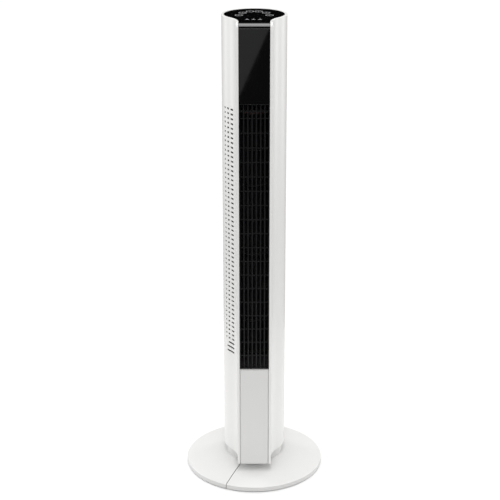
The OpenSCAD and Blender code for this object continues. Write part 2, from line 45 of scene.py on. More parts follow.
# Shape of the column seen from above, in millimetres, the same for every shell.
column = {
    "roundR": 71.0,
    "hollowR": 71.0,
    "hollowX": 109.5,
    "hollowY": 90.41,
    "blend": 39.54,
    "blendX": 54.9,
    "noseFront": 105.5,
    "stripHalf": 33.0,
    "rear": 35.0,
    "rearGap": 0.25,
    "wall": 2.5,
    "border": 5.4,
}


def lowHigh(node):
    low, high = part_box(node)
    return [v / mm for v in low], [v / mm for v in high]


def clearSelection():
    if bpy.context.object and bpy.context.object.mode != "OBJECT":
        bpy.ops.object.mode_set(mode="OBJECT")
    bpy.ops.object.select_all(action="DESELECT")


def pickPiece(piece):
    clearSelection()
    piece.select_set(True)
    bpy.context.view_layer.objects.active = piece


def slideCopy(piece, step):
    pickPiece(piece)
    bpy.ops.object.duplicate()
    bpy.ops.transform.translate(value=[c * mm for c in step])
    return bpy.context.object


def editAll():
    bpy.context.tool_settings.mesh_select_mode = (True, False, False)
    bpy.ops.object.mode_set(mode="EDIT")
    bpy.ops.mesh.select_all(action="SELECT")


def placeOrigin():
    bpy.ops.object.mode_set(mode="OBJECT")
    bpy.ops.object.transform_apply(location=True, rotation=True, scale=True)


def startPoint(point):
    clearSelection()
    bpy.ops.mesh.primitive_plane_add(size=mm, location=[c * mm for c in point])
    bpy.ops.object.transform_apply(location=True)
    editAll()
    bpy.ops.mesh.merge(type="CENTER")


def lineTo(start, end):
    step = [(b - a) * mm for a, b in zip(start, end)]
    bpy.ops.mesh.extrude_vertices_move(TRANSFORM_OT_translate={"value": step})
    return end


def drawLine(points):
    startPoint(points[0])
    here = points[0]
    for point in points[1:]:
        here = lineTo(here, point)
    bpy.ops.mesh.select_all(action="SELECT")


def drawLoop(points):
    drawLine(points)
    bpy.ops.mesh.edge_face_add()


def turn(centre, degrees, steps, axis=(0, 0, 1), copies=False):
    # spin runs clockwise here, so the angle is turned round
    bpy.ops.mesh.spin(
        steps=steps,
        dupli=copies,
        angle=-math.radians(degrees),
        center=[c * mm for c in centre],
        axis=axis,
    )


def pull(step):
    bpy.ops.mesh.extrude_region_move(TRANSFORM_OT_translate={"value": [c * mm for c in step]})


def pickFaces(test):
    bpy.ops.object.mode_set(mode="OBJECT")
    mesh = bpy.context.object.data
    for part in (mesh.vertices, mesh.edges, mesh.polygons):
        part.foreach_set("select", [False] * len(part))
    for face in mesh.polygons:
        face.select = bool(test(face.center / mm, face.normal))
    bpy.context.tool_settings.mesh_select_mode = (False, False, True)
    bpy.ops.object.mode_set(mode="EDIT")


def pickEdges(test):
    bpy.ops.object.mode_set(mode="OBJECT")
    mesh = bpy.context.object.data
    for part in (mesh.vertices, mesh.edges, mesh.polygons):
        part.foreach_set("select", [False] * len(part))
    for edge in mesh.edges:
        a, b = (mesh.vertices[i].co / mm for i in edge.vertices)
        edge.select = bool(test(a, b))
    bpy.context.tool_settings.mesh_select_mode = (False, True, False)
    bpy.ops.object.mode_set(mode="EDIT")


def closeSurface():
    bpy.ops.mesh.select_all(action="SELECT")
    bpy.ops.mesh.remove_doubles(threshold=0.01 * mm)
    bpy.ops.mesh.normals_make_consistent(inside=False)


def faceOutwards():
    # an open wall can come out facing the axis
    bpy.ops.object.mode_set(mode="OBJECT")
    mesh = bpy.context.object.data
    outward = sum(f.area * (f.normal.x * f.center.x + f.normal.y * f.center.y) for f in mesh.polygons)
    if outward < 0:
        editAll()
        bpy.ops.mesh.flip_normals()
    bpy.ops.object.mode_set(mode="OBJECT")


def applyModifier(kind, **settings):
    piece = bpy.context.object
    modifier = piece.modifiers.new(kind.lower(), kind)
    for name, value in settings.items():
        setattr(modifier, name, value)
    bpy.ops.object.modifier_apply(modifier=modifier.name)


def giveWall(thickness):
    applyModifier("SOLIDIFY", thickness=thickness * mm, offset=-1, use_even_offset=True)


def soften(width, segments=2, angle=40):
    applyModifier(
        "BEVEL",
        width=width * mm,
        segments=segments,
        limit_method="ANGLE",
        angle_limit=math.radians(angle),
        use_clamp_overlap=True,
    )


def finishPiece(name, finish, body, stands=(), angle=40):
    piece = bpy.context.object
    placeOrigin()
    piece.name = piece.data.name = name
    bpy.ops.object.shade_smooth_by_angle(angle=math.radians(angle))
    applyModifier("WEIGHTED_NORMAL", mode="FACE_AREA", weight=50, keep_sharp=True)
    piece.data.materials.clear()
    piece.data.materials.append(finish)
    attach(piece, body)
    if stands:
        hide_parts(*stands)
    print("made", name, len(piece.data.polygons), "faces")
    return piece


def joinPieces(pieces):
    clearSelection()
    for piece in pieces:
        piece.select_set(True)
    bpy.context.view_layer.objects.active = pieces[0]
    bpy.ops.object.join()
    return bpy.context.object


def roundedBlock(low, high, radius, segments=3):
    clearSelection()
    middle = [(a + b) / 2 * mm for a, b in zip(low, high)]
    size = [(b - a) * mm for a, b in zip(low, high)]
    bpy.ops.mesh.primitive_cube_add(size=1, location=middle, scale=size)
    bpy.ops.object.transform_apply(location=True, rotation=True, scale=True)
    editAll()
    bpy.ops.mesh.bevel(offset=radius * mm, segments=segments, affect="EDGES")
    bpy.ops.object.mode_set(mode="OBJECT")
    return bpy.context.object


def carve(cutter):
    piece = bpy.context.object
    applyModifier("BOOLEAN", operation="DIFFERENCE", solver="EXACT", object=cutter)
    bpy.data.objects.remove(cutter, do_unlink=True)
    bpy.context.view_layer.objects.active = piece
    piece.select_set(True)


def newGroup(name, inputs, outputs):
    group = bpy.data.node_groups.new(name, "ShaderNodeTree")
    for label, kind, default in inputs:
        socket = group.interface.new_socket(name=label, in_out="INPUT", socket_type=kind)
        if default is not None:
            socket.default_value = default
    for label, kind in outputs:
        group.interface.new_socket(name=label, in_out="OUTPUT", socket_type=kind)
    enter = group.nodes.new("NodeGroupInput")
    leave = group.nodes.new("NodeGroupOutput")
    return group, enter, leave


def addNode(tree, kind, **settings):
    node = tree.nodes.new(kind)
    for name, value in settings.items():
        if name == "values":
            for socket, number in value.items():
                node.inputs[socket].default_value = number
        else:
            setattr(node, name, value)
    return node


def wire(tree, *pairs):
    for source, target in pairs:
        tree.links.new(source, target)


def buildMouldedSkin():
    # moulded plastic: a slow drift of tone, a faint cloudiness in the gloss and a fine skin
    group, enter, leave = newGroup(
        "mouldedSkin",
        [
            ("Place", "NodeSocketVector", None),
            ("Tone", "NodeSocketColor", (0.8, 0.8, 0.8, 1)),
            ("Drift", "NodeSocketColor", (0.7, 0.7, 0.7, 1)),
            ("Roughness", "NodeSocketFloat", 0.4),
            ("Spread", "NodeSocketFloat", 0.08),
            ("Grain", "NodeSocketFloat", 900.0),
        ],
        [
            ("Color", "NodeSocketColor"),
            ("Roughness", "NodeSocketFloat"),
            ("Height", "NodeSocketFloat"),
        ],
    )
    slow = addNode(group, "ShaderNodeTexNoise", values={"Scale": 9.0, "Detail": 3.0, "Roughness": 0.55})
    clouds = addNode(group, "ShaderNodeTexNoise", values={"Scale": 42.0, "Detail": 4.0, "Roughness": 0.6})
    fine = addNode(group, "ShaderNodeTexNoise", values={"Detail": 2.0, "Roughness": 0.5})
    tones = addNode(group, "ShaderNodeMix", data_type="RGBA")
    spread = addNode(group, "ShaderNodeMapRange", values={"From Min": 0.3, "From Max": 0.7})
    least = addNode(group, "ShaderNodeMath", operation="SUBTRACT")
    most = addNode(group, "ShaderNodeMath", operation="ADD")
    wire(
        group,
        (enter.outputs["Place"], slow.inputs["Vector"]),
        (enter.outputs["Place"], clouds.inputs["Vector"]),
        (enter.outputs["Place"], fine.inputs["Vector"]),
        (enter.outputs["Grain"], fine.inputs["Scale"]),
        (slow.outputs["Fac"], tones.inputs[0]),
        (enter.outputs["Tone"], tones.inputs[6]),
        (enter.outputs["Drift"], tones.inputs[7]),
        (tones.outputs[2], leave.inputs["Color"]),
        (enter.outputs["Roughness"], least.inputs[0]),
        (enter.outputs["Spread"], least.inputs[1]),
        (enter.outputs["Roughness"], most.inputs[0]),
        (enter.outputs["Spread"], most.inputs[1]),
        (clouds.outputs["Fac"], spread.inputs["Value"]),
        (least.outputs[0], spread.inputs["To Min"]),
        (most.outputs[0], spread.inputs["To Max"]),
        (spread.outputs[0], leave.inputs["Roughness"]),
        (fine.outputs["Fac"], leave.inputs["Height"]),
    )
    return group


def buildRubbedEdge():
    # where hands and cloths have rubbed the sharp edges
    group, enter, leave = newGroup(
        "rubbedEdge",
        [
            ("Place", "NodeSocketVector", None),
            ("Color", "NodeSocketColor", (0.8, 0.8, 0.8, 1)),
            ("Rubbed", "NodeSocketColor", (0.9, 0.9, 0.9, 1)),
            ("Amount", "NodeSocketFloat", 0.5),
        ],
        [("Color", "NodeSocketColor"), ("Mask", "NodeSocketFloat")],
    )
    geometry = addNode(group, "ShaderNodeNewGeometry")
    rounded = addNode(group, "ShaderNodeBevel", samples=4, values={"Radius": 0.7 * mm})
    turned = addNode(group, "ShaderNodeVectorMath", operation="DOT_PRODUCT")
    edges = addNode(group, "ShaderNodeMapRange",
                    values={"From Min": 0.995, "From Max": 0.9, "To Min": 0.0, "To Max": 1.0})
    patches = addNode(group, "ShaderNodeTexNoise", values={"Scale": 60.0, "Detail": 5.0})
    broken = addNode(group, "ShaderNodeMath", operation="MULTIPLY")
    mask = addNode(group, "ShaderNodeMath", operation="MULTIPLY", use_clamp=True)
    paint = addNode(group, "ShaderNodeMix", data_type="RGBA")
    wire(
        group,
        (geometry.outputs["Normal"], turned.inputs[0]),
        (rounded.outputs[0], turned.inputs[1]),
        (turned.outputs["Value"], edges.inputs["Value"]),
        (enter.outputs["Place"], patches.inputs["Vector"]),
        (edges.outputs[0], broken.inputs[0]),
        (patches.outputs["Fac"], broken.inputs[1]),
        (broken.outputs[0], mask.inputs[0]),
        (enter.outputs["Amount"], mask.inputs[1]),
        (mask.outputs[0], paint.inputs[0]),
        (enter.outputs["Color"], paint.inputs[6]),
        (enter.outputs["Rubbed"], paint.inputs[7]),
        (paint.outputs[2], leave.inputs["Color"]),
        (mask.outputs[0], leave.inputs["Mask"]),
    )
    return group


def buildSettledDust():
    # a light film on faces that look up
    group, enter, leave = newGroup(
        "settledDust",
        [
            ("Place", "NodeSocketVector", None),
            ("Color", "NodeSocketColor", (0.8, 0.8, 0.8, 1)),
            ("Dust", "NodeSocketColor", (0.55, 0.53, 0.5, 1)),
            ("Amount", "NodeSocketFloat", 0.1),
        ],
        [("Color", "NodeSocketColor"), ("Mask", "NodeSocketFloat")],
    )
    geometry = addNode(group, "ShaderNodeNewGeometry")
    split = addNode(group, "ShaderNodeSeparateXYZ")
    upward = addNode(group, "ShaderNodeMapRange", values={"From Min": 0.3, "From Max": 1.0})
    specks = addNode(group, "ShaderNodeTexNoise", values={"Scale": 220.0, "Detail": 6.0, "Roughness": 0.7})
    thinned = addNode(group, "ShaderNodeMath", operation="MULTIPLY")
    mask = addNode(group, "ShaderNodeMath", operation="MULTIPLY", use_clamp=True)
    paint = addNode(group, "ShaderNodeMix", data_type="RGBA")
    wire(
        group,
        (geometry.outputs["Normal"], split.inputs[0]),
        (split.outputs["Z"], upward.inputs["Value"]),
        (enter.outputs["Place"], specks.inputs["Vector"]),
        (upward.outputs[0], thinned.inputs[0]),
        (specks.outputs["Fac"], thinned.inputs[1]),
        (thinned.outputs[0], mask.inputs[0]),
        (enter.outputs["Amount"], mask.inputs[1]),
        (mask.outputs[0], paint.inputs[0]),
        (enter.outputs["Color"], paint.inputs[6]),
        (enter.outputs["Dust"], paint.inputs[7]),
        (paint.outputs[2], leave.inputs["Color"]),
        (mask.outputs[0], leave.inputs["Mask"]),
    )
    return group


def buildMetalGrain():
    # rolled, drawn or turned metal: fine lines along one direction and slow stains
    group, enter, leave = newGroup(
        "metalGrain",
        [
            ("Place", "NodeSocketVector", None),
            ("Metal", "NodeSocketColor", (0.7, 0.7, 0.7, 1)),
            ("Stain", "NodeSocketColor", (0.5, 0.5, 0.5, 1)),
            ("Stretch", "NodeSocketVector", (900.0, 60.0, 900.0)),
            ("Roughness", "NodeSocketFloat", 0.35),
            ("Spread", "NodeSocketFloat", 0.12),
        ],
        [
            ("Color", "NodeSocketColor"),
            ("Roughness", "NodeSocketFloat"),
            ("Height", "NodeSocketFloat"),
        ],
    )
    stretched = addNode(group, "ShaderNodeVectorMath", operation="MULTIPLY")
    lines = addNode(group, "ShaderNodeTexNoise", values={"Scale": 1.0, "Detail": 3.0, "Roughness": 0.6})
    stains = addNode(group, "ShaderNodeTexNoise", values={"Scale": 38.0, "Detail": 4.0, "Roughness": 0.6})
    paint = addNode(group, "ShaderNodeMix", data_type="RGBA")
    swing = addNode(group, "ShaderNodeMath", operation="MULTIPLY")
    rough = addNode(group, "ShaderNodeMath", operation="ADD", use_clamp=True)
    wire(
        group,
        (enter.outputs["Place"], stretched.inputs[0]),
        (enter.outputs["Stretch"], stretched.inputs[1]),
        (stretched.outputs[0], lines.inputs["Vector"]),
        (enter.outputs["Place"], stains.inputs["Vector"]),
        (stains.outputs["Fac"], paint.inputs[0]),
        (enter.outputs["Metal"], paint.inputs[6]),
        (enter.outputs["Stain"], paint.inputs[7]),
        (paint.outputs[2], leave.inputs["Color"]),
        (lines.outputs["Fac"], swing.inputs[0]),
        (enter.outputs["Spread"], swing.inputs[1]),
        (swing.outputs[0], rough.inputs[0]),
        (enter.outputs["Roughness"], rough.inputs[1]),
        (rough.outputs[0], leave.inputs["Roughness"]),
        (lines.outputs["Fac"], leave.inputs["Height"]),
    )
    return group


mouldedSkin = buildMouldedSkin()
rubbedEdge = buildRubbedEdge()
settledDust = buildSettledDust()
metalGrain = buildMetalGrain()


def startFinish(name):
    finish = bpy.data.materials.new(name)
    finish.use_nodes = True
    tree = finish.node_tree
    shader = tree.nodes["Principled BSDF"]
    place = tree.nodes.new("ShaderNodeTexCoord")
    return finish, tree, shader, place.outputs["Object"]


def placeGroup(tree, group, place, **values):
    node = tree.nodes.new("ShaderNodeGroup")
    node.node_tree = group
    tree.links.new(place, node.inputs["Place"])
    for name, value in values.items():
        node.inputs[name].default_value = value
    return node


def addBump(tree, shader, height, strength, distance):
    bump = tree.nodes.new("ShaderNodeBump")
    bump.inputs["Strength"].default_value = strength
    bump.inputs["Distance"].default_value = distance
    wire(tree, (height, bump.inputs["Height"]), (bump.outputs[0], shader.inputs["Normal"]))


def plasticFinish(name, tone, drift, roughness, spread=0.06, grain=900.0, bump=0.15,
                  specular=0.5, coat=0.0, coatRoughness=0.05, rubbed=None, wear=0.25, dust=0.06):
    finish, tree, shader, place = startFinish(name)
    skin = placeGroup(tree, mouldedSkin, place, Tone=(*tone, 1), Drift=(*drift, 1),
                      Roughness=roughness, Spread=spread, Grain=grain)
    edge = placeGroup(tree, rubbedEdge, place, Rubbed=(*(rubbed or tone), 1), Amount=wear)
    film = placeGroup(tree, settledDust, place, Amount=dust)
    wire(
        tree,
        (skin.outputs["Color"], edge.inputs["Color"]),
        (edge.outputs["Color"], film.inputs["Color"]),
        (film.outputs["Color"], shader.inputs["Base Color"]),
        (skin.outputs["Roughness"], shader.inputs["Roughness"]),
    )
    addBump(tree, shader, skin.outputs["Height"], bump, 0.00008)
    shader.inputs["Specular IOR Level"].default_value = specular
    shader.inputs["Coat Weight"].default_value = coat
    shader.inputs["Coat Roughness"].default_value = coatRoughness
    return finish


def metalFinish(name, metal, stain, roughness, spread=0.12, stretch=(900.0, 60.0, 900.0), bump=0.2):
    finish, tree, shader, place = startFinish(name)
    grain = placeGroup(tree, metalGrain, place, Metal=(*metal, 1), Stain=(*stain, 1),
                       Stretch=stretch, Roughness=roughness, Spread=spread)
    film = placeGroup(tree, settledDust, place, Amount=0.08)
    wire(
        tree,
        (grain.outputs["Color"], film.inputs["Color"]),
        (film.outputs["Color"], shader.inputs["Base Color"]),
        (grain.outputs["Roughness"], shader.inputs["Roughness"]),
    )
    shader.inputs["Metallic"].default_value = 1.0
    addBump(tree, shader, grain.outputs["Height"], bump, 0.00005)
    return finish


def layeredFinish(name, tone, drift, roughness, bands, metallic=0.0, axis="Z"):
    # laminations, windings, ribbed blocks: even bands along one axis
    finish, tree, shader, place = startFinish(name)
    skin = placeGroup(tree, mouldedSkin, place, Tone=(*tone, 1), Drift=(*drift, 1),
                      Roughness=roughness, Spread=0.08, Grain=600.0)
    waves = addNode(tree, "ShaderNodeTexWave", wave_type="BANDS", bands_direction=axis,
                    values={"Scale": bands, "Distortion": 0.4, "Detail": 1.0})
    darken = addNode(tree, "ShaderNodeMix", data_type="RGBA", blend_type="MULTIPLY")
    darken.inputs[7].default_value = (0.55, 0.5, 0.45, 1)
    wire(
        tree,
        (place, waves.inputs["Vector"]),
        (waves.outputs["Fac"], darken.inputs[0]),
        (skin.outputs["Color"], darken.inputs[6]),
        (darken.outputs[2], shader.inputs["Base Color"]),
        (skin.outputs["Roughness"], shader.inputs["Roughness"]),
    )
    shader.inputs["Metallic"].default_value = metallic
    addBump(tree, shader, waves.outputs["Fac"], 0.4, 0.0002)
    return finish


def boardFinish(name):
    # green circuit board with copper tracks under the mask
    finish, tree, shader, place = startFinish(name)
    skin = placeGroup(tree, mouldedSkin, place, Tone=(0.015, 0.10, 0.04, 1),
                      Drift=(0.01, 0.075, 0.03, 1), Roughness=0.32, Spread=0.05, Grain=700.0)
    tracks = addNode(tree, "ShaderNodeTexVoronoi", feature="DISTANCE_TO_EDGE", distance="CHEBYCHEV",
                     values={"Scale": 260.0})
    lines = addNode(tree, "ShaderNodeMapRange", values={"From Min": 0.02, "From Max": 0.06})
    paint = addNode(tree, "ShaderNodeMix", data_type="RGBA")
    paint.inputs[6].default_value = (0.06, 0.22, 0.08, 1)
    wire(
        tree,
        (place, tracks.inputs["Vector"]),
        (tracks.outputs["Distance"], lines.inputs["Value"]),
        (lines.outputs[0], paint.inputs[0]),
        (skin.outputs["Color"], paint.inputs[7]),
        (paint.outputs[2], shader.inputs["Base Color"]),
        (skin.outputs["Roughness"], shader.inputs["Roughness"]),
    )
    addBump(tree, shader, lines.outputs[0], 0.3, 0.0001)
    return finish


whiteTone = (0.80, 0.80, 0.785)
whiteDrift = (0.792, 0.792, 0.778)
finishes = {
    "whiteShell": plasticFinish("whiteShell", whiteTone, whiteDrift, 0.42, 0.02, 1100.0, 0.02,
                                coat=0.12, coatRoughness=0.3, rubbed=(0.83, 0.83, 0.82), dust=0.02),
    "whiteBase": plasticFinish("whiteBase", (0.83, 0.83, 0.82), (0.82, 0.82, 0.81), 0.42, 0.02, 1000.0,
                               0.03, coat=0.1, coatRoughness=0.3, rubbed=(0.85, 0.85, 0.84), dust=0.03),
    "whiteCollar": plasticFinish("whiteCollar", (0.72, 0.72, 0.71), (0.70, 0.70, 0.69), 0.4, dust=0.04),
    "greyWhiteCover": plasticFinish("greyWhiteCover", (0.70, 0.70, 0.69), (0.685, 0.685, 0.675), 0.42,
                                    0.03, 1300.0, 0.1, rubbed=(0.74, 0.74, 0.73), dust=0.05),
    "blackGrille": plasticFinish("blackGrille", (0.011, 0.0105, 0.012), (0.009, 0.0085, 0.010), 0.5,
                                 0.05, 900.0, 0.1, specular=0.35, rubbed=(0.015, 0.015, 0.015), dust=0.01),
    "blackWindow": plasticFinish("blackWindow", (0.004, 0.004, 0.0042), (0.003, 0.003, 0.0032), 0.03,
                                 0.01, 400.0, 0.0, rubbed=(0.01, 0.01, 0.01), wear=0.1, dust=0.004),
    "blackPanel": plasticFinish("blackPanel", (0.0016, 0.0016, 0.0016), (0.0012, 0.0012, 0.0012), 0.07,
                                0.01, 400.0, 0.0, rubbed=(0.004, 0.004, 0.004), wear=0.1, dust=0.0005),
    "keyMark": plasticFinish("keyMark", (0.42, 0.42, 0.43), (0.38, 0.38, 0.39), 0.5, dust=0.0),
    "greyFrame": plasticFinish("greyFrame", (0.09, 0.09, 0.095), (0.07, 0.07, 0.075), 0.5),
    "greyGland": plasticFinish("greyGland", (0.10, 0.10, 0.10), (0.08, 0.08, 0.08), 0.55),
    "rubber": plasticFinish("rubber", (0.03, 0.03, 0.032), (0.022, 0.022, 0.024), 0.75, 0.08, 500.0, 0.4),
    "wheelPlastic": plasticFinish("wheelPlastic", (0.016, 0.015, 0.015), (0.012, 0.011, 0.011), 0.5),
    "brownPlastic": plasticFinish("brownPlastic", (0.13, 0.05, 0.045), (0.10, 0.04, 0.035), 0.45),
    "blackPart": plasticFinish("blackPart", (0.02, 0.02, 0.022), (0.014, 0.014, 0.015), 0.4),
    "blackWire": plasticFinish("blackWire", (0.02, 0.02, 0.02), (0.012, 0.012, 0.012), 0.5),
    "whitePart": plasticFinish("whitePart", (0.7, 0.7, 0.68), (0.62, 0.62, 0.6), 0.4),
    "nylon": plasticFinish("nylon", (0.66, 0.63, 0.55), (0.6, 0.57, 0.49), 0.38),
    "greenBlock": plasticFinish("greenBlock", (0.03, 0.16, 0.06), (0.02, 0.12, 0.05), 0.45),
    "steel": metalFinish("steel", (0.56, 0.56, 0.55), (0.48, 0.48, 0.47), 0.38),
    "screwSteel": metalFinish("screwSteel", (0.50, 0.50, 0.50), (0.38, 0.37, 0.36), 0.3),
    "shaftSteel": metalFinish("shaftSteel", (0.62, 0.62, 0.61), (0.55, 0.55, 0.54), 0.2,
                              stretch=(60.0, 60.0, 1500.0)),
    "springSteel": metalFinish("springSteel", (0.60, 0.60, 0.58), (0.5, 0.5, 0.48), 0.3,
                               stretch=(80.0, 80.0, 2400.0)),
    "motorSteel": metalFinish("motorSteel", (0.52, 0.53, 0.54), (0.44, 0.45, 0.45), 0.42),
    "bronze": metalFinish("bronze", (0.55, 0.36, 0.16), (0.42, 0.27, 0.12), 0.34),
    "copper": layeredFinish("copper", (0.60, 0.27, 0.11), (0.5, 0.2, 0.08), 0.3, 400.0, metallic=1.0),
    "laminations": layeredFinish("laminations", (0.30, 0.30, 0.31), (0.22, 0.22, 0.22), 0.5, 500.0,
                                 metallic=1.0),
    "circuitBoard": boardFinish("circuitBoard"),
}


def paintShadeOnSteepFaces(finish, tone):
    # painted shade: the base's upright faces, the rim above all, are painted greyer than its top to stand
    # in for the weaker light they get
    tree = finish.node_tree
    colour = tree.nodes["Principled BSDF"].inputs["Base Color"]
    split = addNode(tree, "ShaderNodeSeparateXYZ")
    steepShadeMask = addNode(tree, "ShaderNodeMapRange", values={"From Min": 0.75, "From Max": 0.25})
    paint = addNode(tree, "ShaderNodeMix", data_type="RGBA")
    paint.inputs[7].default_value = (*tone, 1)
    wire(
        tree,
        (addNode(tree, "ShaderNodeNewGeometry").outputs["Normal"], split.inputs[0]),
        (split.outputs["Z"], steepShadeMask.inputs["Value"]),
        (steepShadeMask.outputs[0], paint.inputs[0]),
        (colour.links[0].from_socket, paint.inputs[6]),
        (paint.outputs[2], colour),
    )


# painted shade: grey painted on the base's steep faces, where shade would fall, instead of a real
# difference in the plastic
paintShadeOnSteepFaces(finishes["whiteBase"], (0.66, 0.66, 0.65))
finishOfSlot = {
    "white_base": "whiteBase", "white_collar": "whiteCollar", "white_shell": "whiteShell",
    "grey_white_cover": "greyWhiteCover", "black_grille": "blackGrille",
    "black_window": "blackWindow", "black_panel": "blackPanel", "grey_frame": "greyFrame",
    "grey_gland": "greyGland", "steel": "steel", "screw_steel": "screwSteel",
    "shaft_steel": "shaftSteel", "spring_steel": "springSteel", "motor_steel": "motorSteel",
    "laminations": "laminations", "copper": "copper", "bronze": "bronze", "nylon": "nylon",
    "rubber": "rubber", "wheel_plastic": "wheelPlastic", "brown_plastic": "brownPlastic",
    "circuit_board": "circuitBoard", "white_part": "whitePart", "green_block": "greenBlock",
    "black_part": "blackPart", "black_wire": "blackWire",
}
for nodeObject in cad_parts.values():
    for materialSlot in nodeObject.material_slots:
        slotName = materialSlot.material.name.split(".")[0]
        materialSlot.material = finishes[finishOfSlot[slotName]]
print("finishes", len(finishes))


coverTop = lowHigh("front_cover")[1][2]
ventLines = {
    "rows": 55,
    "first": coverTop + 18.6,
    "pitch": 10.6,
    "height": 4.4,
    "longRows": 3,
    "cuts": [(-0.646, -0.727), (-0.777, -0.834), (-0.875, -0.915)],
}


def rimProfile(bottom, top, levels):
    # the wall from its foot up, over the rounded rim and in along the border, as (depth, height)
    heights = [bottom] + [z for z in levels if bottom < z < top - 2] + [top - 0.9]
    rim = [(0, z) for z in heights]
    rim += [(0.1, top - 0.5), (0.4, top - 0.15), (0.9, top), (column["border"], top)]
    return rim


def ventHit(centre):
    row = math.floor((centre.z - ventLines["first"]) / ventLines["pitch"])
    if not 0 <= row < ventLines["rows"] or centre.y > 0:
        return False
    if centre.z - ventLines["first"] - row * ventLines["pitch"] > ventLines["height"]:
        return False
    along = centre.x / column["roundR"]
    if row < ventLines["longRows"]:
        lowest = row < ventLines["longRows"] - 1
        reach = ventLines["cuts"][2][0] if lowest else ventLines["cuts"][1][1]
        return reach < along < ventLines["cuts"][0][0]
    return any(b < along < a for a, b in ventLines["cuts"])


def makeSideCasing(side, node, name):
    low, high = lowHigh(node)
    levels = []
    if side < 0:
        for row in range(ventLines["rows"]):
            foot = ventLines["first"] + row * ventLines["pitch"]
            levels += [foot, foot + ventLines["height"]]
    begin = math.radians(column["rear"] + column["rearGap"])
    profile = []
    for depth, z in rimProfile(low[2], high[2], levels):
        r = column["roundR"] - depth
        profile.append((side * r * math.cos(begin), r * math.sin(begin), z))
    drawLine(profile)
    cuts = sorted({x for pair in ventLines["cuts"] for x in pair})
    roundR = column["roundR"]
    roundStops = [180 + math.degrees(math.acos(-x)) for x in cuts if -x * roundR > column["blendX"]]
    here = 180 - column["rear"] - column["rearGap"]
    for stop in sorted(roundStops) + [180 + column["blend"]]:
        turn((0, 0, 0), -side * (stop - here), max(1, round((stop - here) / 3.4)))
        here = stop
    hollowStops = [
        math.degrees(math.acos((column["hollowX"] + x * roundR) / column["hollowR"]))
        for x in cuts
        if -x * roundR < column["blendX"]
    ]
    here = column["blend"]
    centre = (side * column["hollowX"], -column["hollowY"], 0)
    for stop in sorted(hollowStops, reverse=True) + [0]:
        turn(centre, side * (here - stop), max(1, round((here - stop) / 3)))
        here = stop
    faceOutwards()
    if side < 0:
        pickFaces(lambda centre, normal: ventHit(centre))
        bpy.ops.mesh.delete(type="FACE")
    placeOrigin()
    giveWall(column["wall"])
    soften(0.35, 2, 50)
    return finishPiece(name, finishes["whiteShell"], "column", [node])


makeSideCasing(-1, "left_casing", "leftCasing")
makeSideCasing(1, "right_casing", "rightCasing")

rearCuts = {
    "rows": 63,
    "first": coverTop + 21.0,
    "pitch": 9.0,
    "height": 4.0,
    "columns": [(-37, -15), (-11, 11), (15, 37)],
    "pocketHalf": 42.0,
    "pocketFloor": 45.0,
    "pocketLow": 954.6,
    "pocketHigh": 984.6,
    "pocketMiddle": 0.97,
    "screwAngles": (42, 138),
    "screwHole": 3.6,
    "screwHoleAt": 72.6,
    "screwHoleDeep": 6.0,
    "screwHeights": (60.75, coverTop + 5.0, 882.6, 1060.6),
}


def rearHit(centre):
    row = math.floor((centre.z - rearCuts["first"]) / rearCuts["pitch"])
    if not 0 <= row < rearCuts["rows"]:
        return False
    if centre.z - rearCuts["first"] - row * rearCuts["pitch"] > rearCuts["height"]:
        return False
    return any(a < centre.x < b for a, b in rearCuts["columns"])


def makeRearShell():
    low, high = lowHigh("rear_shell")
    levels = [rearCuts["pocketLow"], rearCuts["pocketHigh"]]
    for row in range(rearCuts["rows"]):
        foot = rearCuts["first"] + row * rearCuts["pitch"]
        levels += [foot, foot + rearCuts["height"]]
    begin = math.radians(column["rear"])
    profile = []
    for depth, z in rimProfile(low[2], high[2], sorted(levels)):
        r = column["roundR"] - depth
        profile.append((r * math.cos(begin), r * math.sin(begin), z))
    drawLine(profile)
    marks = [x for pair in rearCuts["columns"] for x in pair]
    marks += [rearCuts["pocketHalf"], -rearCuts["pocketHalf"]]
    stops = sorted(math.degrees(math.acos(x / column["roundR"])) for x in marks)
    here = column["rear"]
    for stop in stops + [180 - column["rear"]]:
        turn((0, 0, 0), stop - here, max(1, round((stop - here) / 3.2)))
        here = stop
    faceOutwards()
    pickFaces(lambda centre, normal: rearHit(centre))
    bpy.ops.mesh.delete(type="FACE")
    half, floor = rearCuts["pocketHalf"], rearCuts["pocketFloor"]
    pickFaces(
        lambda centre, normal: abs(centre.x) < half
        and rearCuts["pocketLow"] < centre.z < rearCuts["pocketHigh"]
    )
    bpy.ops.mesh.extrude_region_move(TRANSFORM_OT_translate={"value": (0, 0, 0)})
    bpy.ops.transform.resize(value=(1, 0, 1), center_override=(0, floor * mm, rearCuts["pocketMiddle"]))
    placeOrigin()
    giveWall(column["wall"])
    shell = bpy.context.object
    cutters = []
    out = rearCuts["screwHoleAt"] * mm
    for angle in rearCuts["screwAngles"]:
        for height in rearCuts["screwHeights"]:
            clearSelection()
            a = math.radians(angle)
            bpy.ops.mesh.primitive_cylinder_add(
                vertices=32, radius=rearCuts["screwHole"] * mm, depth=rearCuts["screwHoleDeep"] * mm,
                location=(out * math.cos(a), out * math.sin(a), height * mm),
                rotation=(0, math.pi / 2, a),
            )
            cutters.append(bpy.context.object)
    cutter = joinPieces(cutters)
    pickPiece(shell)
    carve(cutter)
    soften(0.4, 2, 50)
    return finishPiece("rearShell", finishes["whiteShell"], "column", ["rear_shell"])


makeRearShell()
print("shells done")


